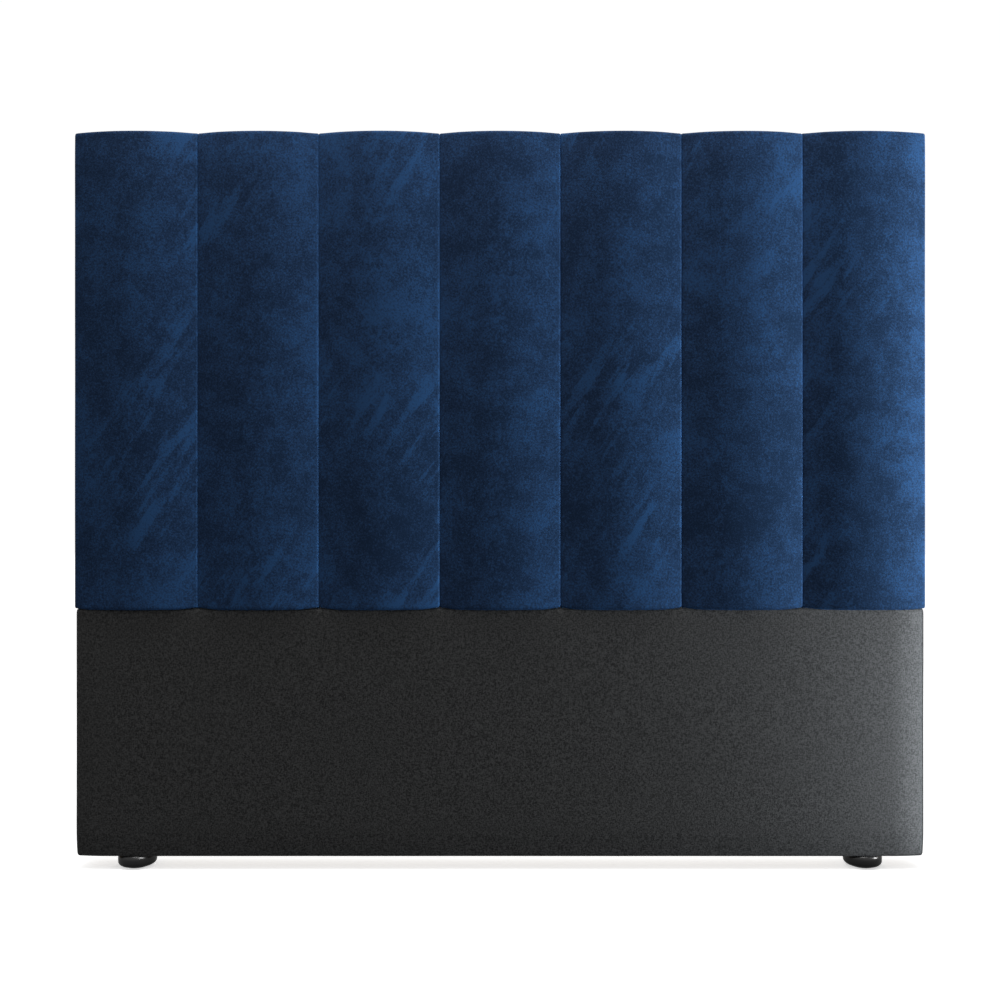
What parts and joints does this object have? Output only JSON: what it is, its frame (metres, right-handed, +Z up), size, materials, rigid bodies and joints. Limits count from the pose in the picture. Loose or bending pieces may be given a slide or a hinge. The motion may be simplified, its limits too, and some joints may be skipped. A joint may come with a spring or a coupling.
{
  "type": "upholstered headboard",
  "caption": "Floor-standing upholstered bed headboard with padded vertical velvet channels above a plain woven lower section, raised on low bun feet.",
  "frame": {"origin": "on the floor, under the centre of the headboard", "axes": "+X to the right as seen from the bed side, +Y towards the wall, +Z up; the padded face looks along -Y"},
  "size_m": [1.616, 0.09, 1.4],
  "materials": {
    "velvet": "brushed navy-blue velvet",
    "woven_cover": "charcoal woven upholstery cloth",
    "dust_cloth": "black non-woven lining",
    "foam": "open-cell polyurethane foam",
    "pine": "planed softwood",
    "plywood": "sanded plywood",
    "foot_plastic": "gloss black moulded plastic",
    "felt": "pressed grey felt",
    "zinc_steel": "bright zinc plate"
  },
  "bodies": {
    "root": {"back_dust_cloth": "dust_cloth", "bottom_rail": "pine", "bottom_rail_screw_left_1": "zinc_steel", "bottom_rail_screw_left_2": "zinc_steel", "bottom_rail_screw_right_1": "zinc_steel", "bottom_rail_screw_right_2": "zinc_steel", "bun_foot_left": "foot_plastic", "bun_foot_right": "foot_plastic", "channel_foam_1": "foam", "channel_foam_2": "foam", "channel_foam_3": "foam", "channel_foam_4": "foam", "channel_foam_5": "foam", "channel_foam_6": "foam", "channel_foam_7": "foam", "corner_block_low_left": "pine", "corner_block_low_right": "pine", "corner_block_top_left": "pine", "corner_block_top_right": "pine", "edge_foam_left": "foam", "edge_foam_right": "foam", "edge_foam_top": "foam", "foot_bolt_left": "zinc_steel", "foot_bolt_right": "zinc_steel", "foot_glide_left": "felt", "foot_glide_right": "felt", "left_stile": "pine", "lower_cover": "woven_cover", "lower_foam_pad": "foam", "lower_front_board": "plywood", "lower_stud_left": "pine", "lower_stud_right": "pine", "middle_rail": "pine", "middle_rail_screw_left_1": "zinc_steel", "middle_rail_screw_left_2": "zinc_steel", "middle_rail_screw_right_1": "zinc_steel", "middle_rail_screw_right_2": "zinc_steel", "right_stile": "pine", "threaded_insert_left": "zinc_steel", "threaded_insert_right": "zinc_steel", "top_rail": "pine", "top_rail_screw_left_1": "zinc_steel", "top_rail_screw_left_2": "zinc_steel", "top_rail_screw_right_1": "zinc_steel", "top_rail_screw_right_2": "zinc_steel", "upper_front_board": "plywood", "upper_stud_left": "pine", "upper_stud_right": "pine", "velvet_panel_1": "velvet", "velvet_panel_2": "velvet", "velvet_panel_3": "velvet", "velvet_panel_4": "velvet", "velvet_panel_5": "velvet", "velvet_panel_6": "velvet", "velvet_panel_7": "velvet"}
  },
  "joints": []
}
